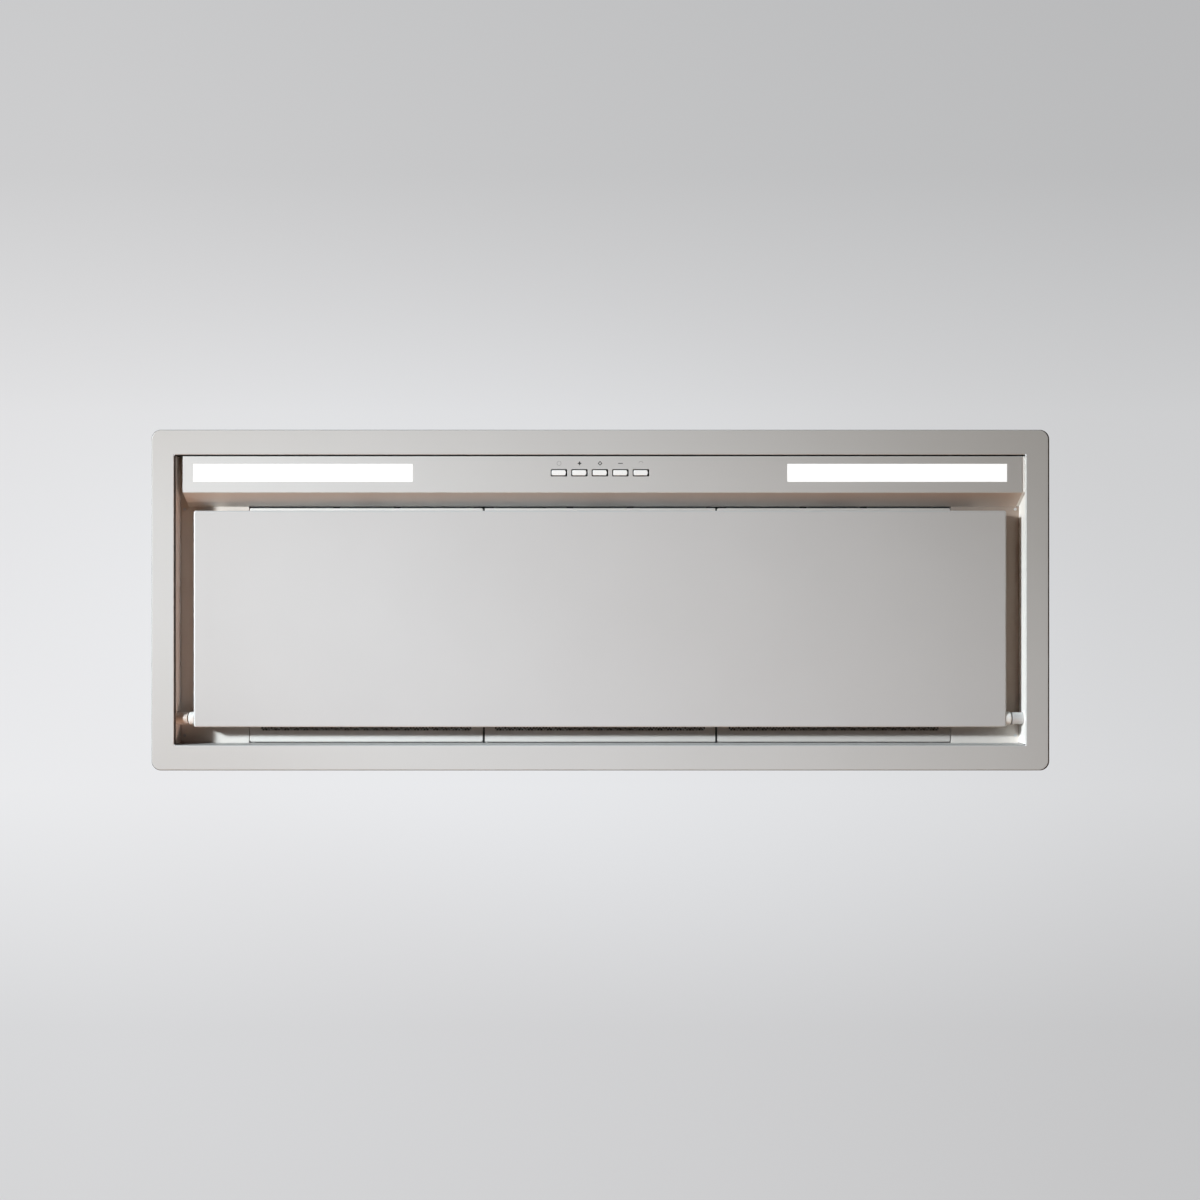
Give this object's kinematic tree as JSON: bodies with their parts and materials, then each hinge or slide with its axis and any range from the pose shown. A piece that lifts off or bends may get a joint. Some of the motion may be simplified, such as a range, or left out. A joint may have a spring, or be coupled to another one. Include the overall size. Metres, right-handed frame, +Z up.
{
  "type": "range hood insert",
  "caption": "Built-in range hood insert with a steel trim, a light and button bar, a drop-down suction panel, grease filters and a blower under a round duct outlet.",
  "frame": {"origin": "centre of the trim's underside, the face seen from the cooktop", "axes": "+Z up into the cabinet, +X to the user's right, +Y to the wall; the user stands on the -Y side"},
  "size_m": [1.05, 0.398, 0.345],
  "materials": {
    "trim_paint": "satin pale warm grey stoving enamel",
    "panel_paint": "satin pale warm grey stoving enamel",
    "zinc_sheet": "galvanised sheet with a fine spangle",
    "zinc_steel": "zinc plated",
    "spring_steel": "bright rolled spring strip",
    "shaft_steel": "ground bright",
    "motor_steel": "black baked enamel",
    "filter_aluminium": "mill finish, expanded mesh",
    "carrier_aluminium": "mill finish",
    "rivet_aluminium": "plain",
    "black_rubber": "matt moulded",
    "black_plastic": "fine moulded grain",
    "flap_plastic": "smooth moulded",
    "white_plastic": "smooth moulded",
    "button_plastic": "polished moulded",
    "opal_lens": "frosted opal, lit",
    "circuit_board": "green solder mask",
    "led_board": "white solder mask"
  },
  "bodies": {
    "hood": {"trim_frame": "trim_paint", "filter_deck": "trim_paint", "filter_rails": "zinc_sheet", "cable_bush": "black_rubber", "control_bar": "panel_paint", "stud_nuts": "zinc_steel", "button_guide": "black_plastic", "control_board": "circuit_board", "board_screws": "zinc_steel", "hinge_nuts": "zinc_steel", "panel_catches": "white_plastic", "casing": "zinc_sheet", "blower_box": "zinc_sheet", "blower_scroll": "zinc_sheet", "motor": "motor_steel", "motor_mount": "zinc_steel", "motor_bushes": "black_rubber", "outlet_plate": "zinc_sheet", "outlet_collar": "black_plastic", "flap_pin": "shaft_steel", "terminal_box": "black_plastic", "terminal_block": "white_plastic", "terminal_cover": "black_plastic", "cable_gland": "black_plastic", "run_capacitor": "white_plastic", "capacitor_band": "zinc_steel", "lamp_driver": "white_plastic", "side_clips": "spring_steel", "rivets": "rivet_aluminium", "pan_screws": "zinc_steel", "filter_frame_left": "trim_paint", "filter_mesh_left": "filter_aluminium", "filter_frame_centre": "trim_paint", "filter_mesh_centre": "filter_aluminium", "filter_frame_right": "trim_paint", "filter_mesh_right": "filter_aluminium", "light_lens_left": "opal_lens", "lamp_carrier_left": "carrier_aluminium", "led_board_left": "led_board", "hinge_stud_left": "trim_paint", "light_lens_right": "opal_lens", "lamp_carrier_right": "carrier_aluminium", "led_board_right": "led_board", "hinge_stud_right": "trim_paint"},
    "access_panel": {"suction_panel": "panel_paint", "panel_stiffeners": "zinc_sheet", "hinge_bush_left": "white_plastic", "hinge_bush_right": "white_plastic"},
    "blower_rotor": {"blower_wheel": "zinc_steel", "motor_shaft": "shaft_steel"},
    "flap_rear": {"flap_rear": "flap_plastic"},
    "flap_front": {"flap_front": "flap_plastic"},
    "button_light": {"button_light": "button_plastic"},
    "button_faster": {"button_faster": "button_plastic"},
    "button_boost": {"button_boost": "button_plastic"},
    "button_slower": {"button_slower": "button_plastic"},
    "button_power": {"button_power": "button_plastic"},
    "filter_latch_left": {"filter_latch_left": "black_plastic"},
    "filter_latch_centre": {"filter_latch_centre": "black_plastic"},
    "filter_latch_right": {"filter_latch_right": "black_plastic"}
  },
  "joints": [
    {"name": "access_panel_swing", "type": "hinge", "parent": "hood", "child": "access_panel", "pos_m": [0, 0.1393, 0.014], "axis": [1, 0, 0], "range_deg": [0, 90]},
    {"name": "blower_spin", "type": "hinge", "parent": "hood", "child": "blower_rotor", "pos_m": [0, -0.04, 0.172], "axis": [1, 0, 0], "continuous": true},
    {"name": "flap_rear_lift", "type": "hinge", "parent": "hood", "child": "flap_rear", "pos_m": [0, 0.03325, 0.316], "axis": [1, 0, 0], "range_deg": [0, 75]},
    {"name": "flap_front_lift", "type": "hinge", "parent": "hood", "child": "flap_front", "pos_m": [0, 0.03325, 0.316], "axis": [-1, 0, 0], "range_deg": [0, 75]},
    {"name": "button_light_press", "type": "slide", "parent": "hood", "child": "button_light", "axis": [0, 0, 1], "range_m": [0, 0.0012], "stiffness_N_per_m": 400, "springref_m": -0.0005},
    {"name": "button_faster_press", "type": "slide", "parent": "hood", "child": "button_faster", "axis": [0, 0, 1], "range_m": [0, 0.0012], "stiffness_N_per_m": 400, "springref_m": -0.0005},
    {"name": "button_boost_press", "type": "slide", "parent": "hood", "child": "button_boost", "axis": [0, 0, 1], "range_m": [0, 0.0012], "stiffness_N_per_m": 400, "springref_m": -0.0005},
    {"name": "button_slower_press", "type": "slide", "parent": "hood", "child": "button_slower", "axis": [0, 0, 1], "range_m": [0, 0.0012], "stiffness_N_per_m": 400, "springref_m": -0.0005},
    {"name": "button_power_press", "type": "slide", "parent": "hood", "child": "button_power", "axis": [0, 0, 1], "range_m": [0, 0.0012], "stiffness_N_per_m": 400, "springref_m": -0.0005},
    {"name": "filter_latch_left_pull", "type": "slide", "parent": "hood", "child": "filter_latch_left", "axis": [0, 1, 0], "range_m": [0, 0.004], "stiffness_N_per_m": 300, "springref_m": -0.002},
    {"name": "filter_latch_centre_pull", "type": "slide", "parent": "hood", "child": "filter_latch_centre", "axis": [0, 1, 0], "range_m": [0, 0.004], "stiffness_N_per_m": 300, "springref_m": -0.002},
    {"name": "filter_latch_right_pull", "type": "slide", "parent": "hood", "child": "filter_latch_right", "axis": [0, 1, 0], "range_m": [0, 0.004], "stiffness_N_per_m": 300, "springref_m": -0.002}
  ]
}
